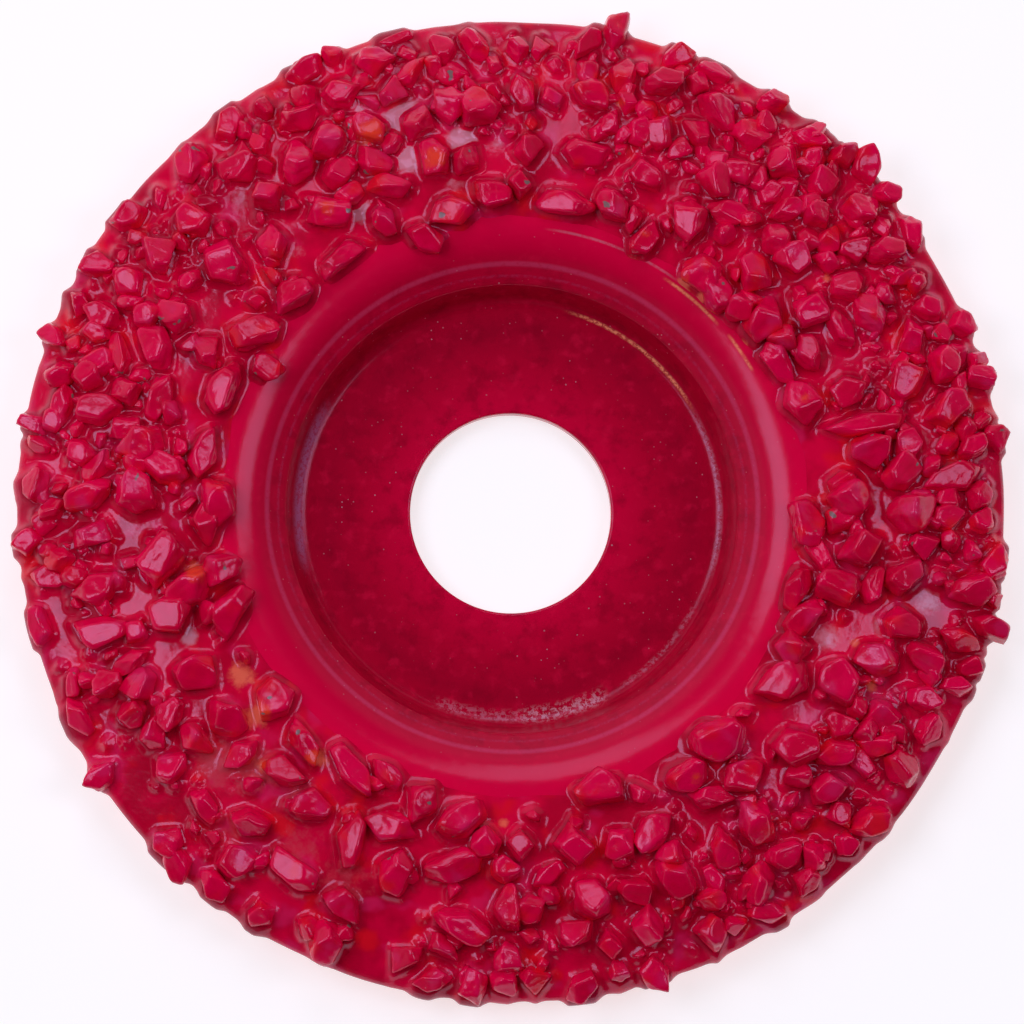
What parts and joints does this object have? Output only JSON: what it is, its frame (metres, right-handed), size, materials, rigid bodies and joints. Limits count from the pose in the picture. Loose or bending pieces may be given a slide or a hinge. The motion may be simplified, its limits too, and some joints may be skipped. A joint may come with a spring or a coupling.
{
  "type": "angle grinder carving disc",
  "caption": "Dished steel grinder disc with a plain centre bore, its domed working face covered in coarse brazed carbide grit under glossy red enamel.",
  "frame": {"origin": "on the axis of the bore, in the plane of the hub's back face, where the grinder's flange seats", "axes": "+Z along the bore axis towards the grit face, away from the grinder; +X and +Y across the disc"},
  "size_m": [0.1111, 0.1108, 0.013],
  "materials": {
    "enamelled_steel": "glossy red enamel sprayed over pressed steel, lightly dusted in the recess",
    "enamelled_braze": "glossy red enamel pooled over the braze, thin and orange where the bronze shows",
    "enamelled_carbide": "glossy red enamel over crushed carbide, worn to grey on a few points"
  },
  "bodies": {
    "root": {"steel_disc": "enamelled_steel", "braze_bed": "enamelled_braze", "carbide_grain_01": "enamelled_carbide", "carbide_grain_02": "enamelled_carbide", "carbide_grain_03": "enamelled_carbide", "carbide_grain_04": "enamelled_carbide", "carbide_grain_05": "enamelled_carbide", "carbide_grain_06": "enamelled_carbide", "carbide_grain_07": "enamelled_carbide", "carbide_grain_08": "enamelled_carbide", "carbide_grain_09": "enamelled_carbide", "carbide_grain_10": "enamelled_carbide", "carbide_grain_11": "enamelled_carbide", "carbide_grain_12": "enamelled_carbide", "carbide_grain_13": "enamelled_carbide", "carbide_grain_14": "enamelled_carbide", "carbide_grain_15": "enamelled_carbide", "carbide_grain_16": "enamelled_carbide", "carbide_grain_17": "enamelled_carbide", "carbide_grain_18": "enamelled_carbide", "carbide_grain_19": "enamelled_carbide", "carbide_grain_20": "enamelled_carbide", "carbide_grain_21": "enamelled_carbide", "carbide_grain_22": "enamelled_carbide", "carbide_grain_23": "enamelled_carbide", "carbide_grain_24": "enamelled_carbide", "carbide_grain_25": "enamelled_carbide", "carbide_grain_26": "enamelled_carbide", "carbide_grain_27": "enamelled_carbide", "carbide_grain_28": "enamelled_carbide", "carbide_grain_29": "enamelled_carbide", "carbide_grain_30": "enamelled_carbide", "carbide_grain_31": "enamelled_carbide", "carbide_grain_32": "enamelled_carbide", "carbide_grain_33": "enamelled_carbide", "carbide_grain_34": "enamelled_carbide", "carbide_grain_35": "enamelled_carbide", "carbide_grain_36": "enamelled_carbide", "carbide_grain_37": "enamelled_carbide", "carbide_grain_38": "enamelled_carbide", "carbide_grain_39": "enamelled_carbide", "carbide_grain_40": "enamelled_carbide", "carbide_grain_41": "enamelled_carbide", "carbide_grain_42": "enamelled_carbide", "carbide_grain_43": "enamelled_carbide", "carbide_grain_44": "enamelled_carbide", "carbide_grain_45": "enamelled_carbide", "carbide_grain_46": "enamelled_carbide", "carbide_grain_47": "enamelled_carbide", "carbide_grain_48": "enamelled_carbide", "carbide_grain_49": "enamelled_carbide", "carbide_grain_50": "enamelled_carbide", "carbide_grain_51": "enamelled_carbide", "carbide_grain_52": "enamelled_carbide", "carbide_grain_53": "enamelled_carbide", "carbide_grain_54": "enamelled_carbide", "carbide_grain_55": "enamelled_carbide", "carbide_grain_56": "enamelled_carbide", "carbide_grain_57": "enamelled_carbide", "carbide_grain_58": "enamelled_carbide"}
  },
  "joints": []
}
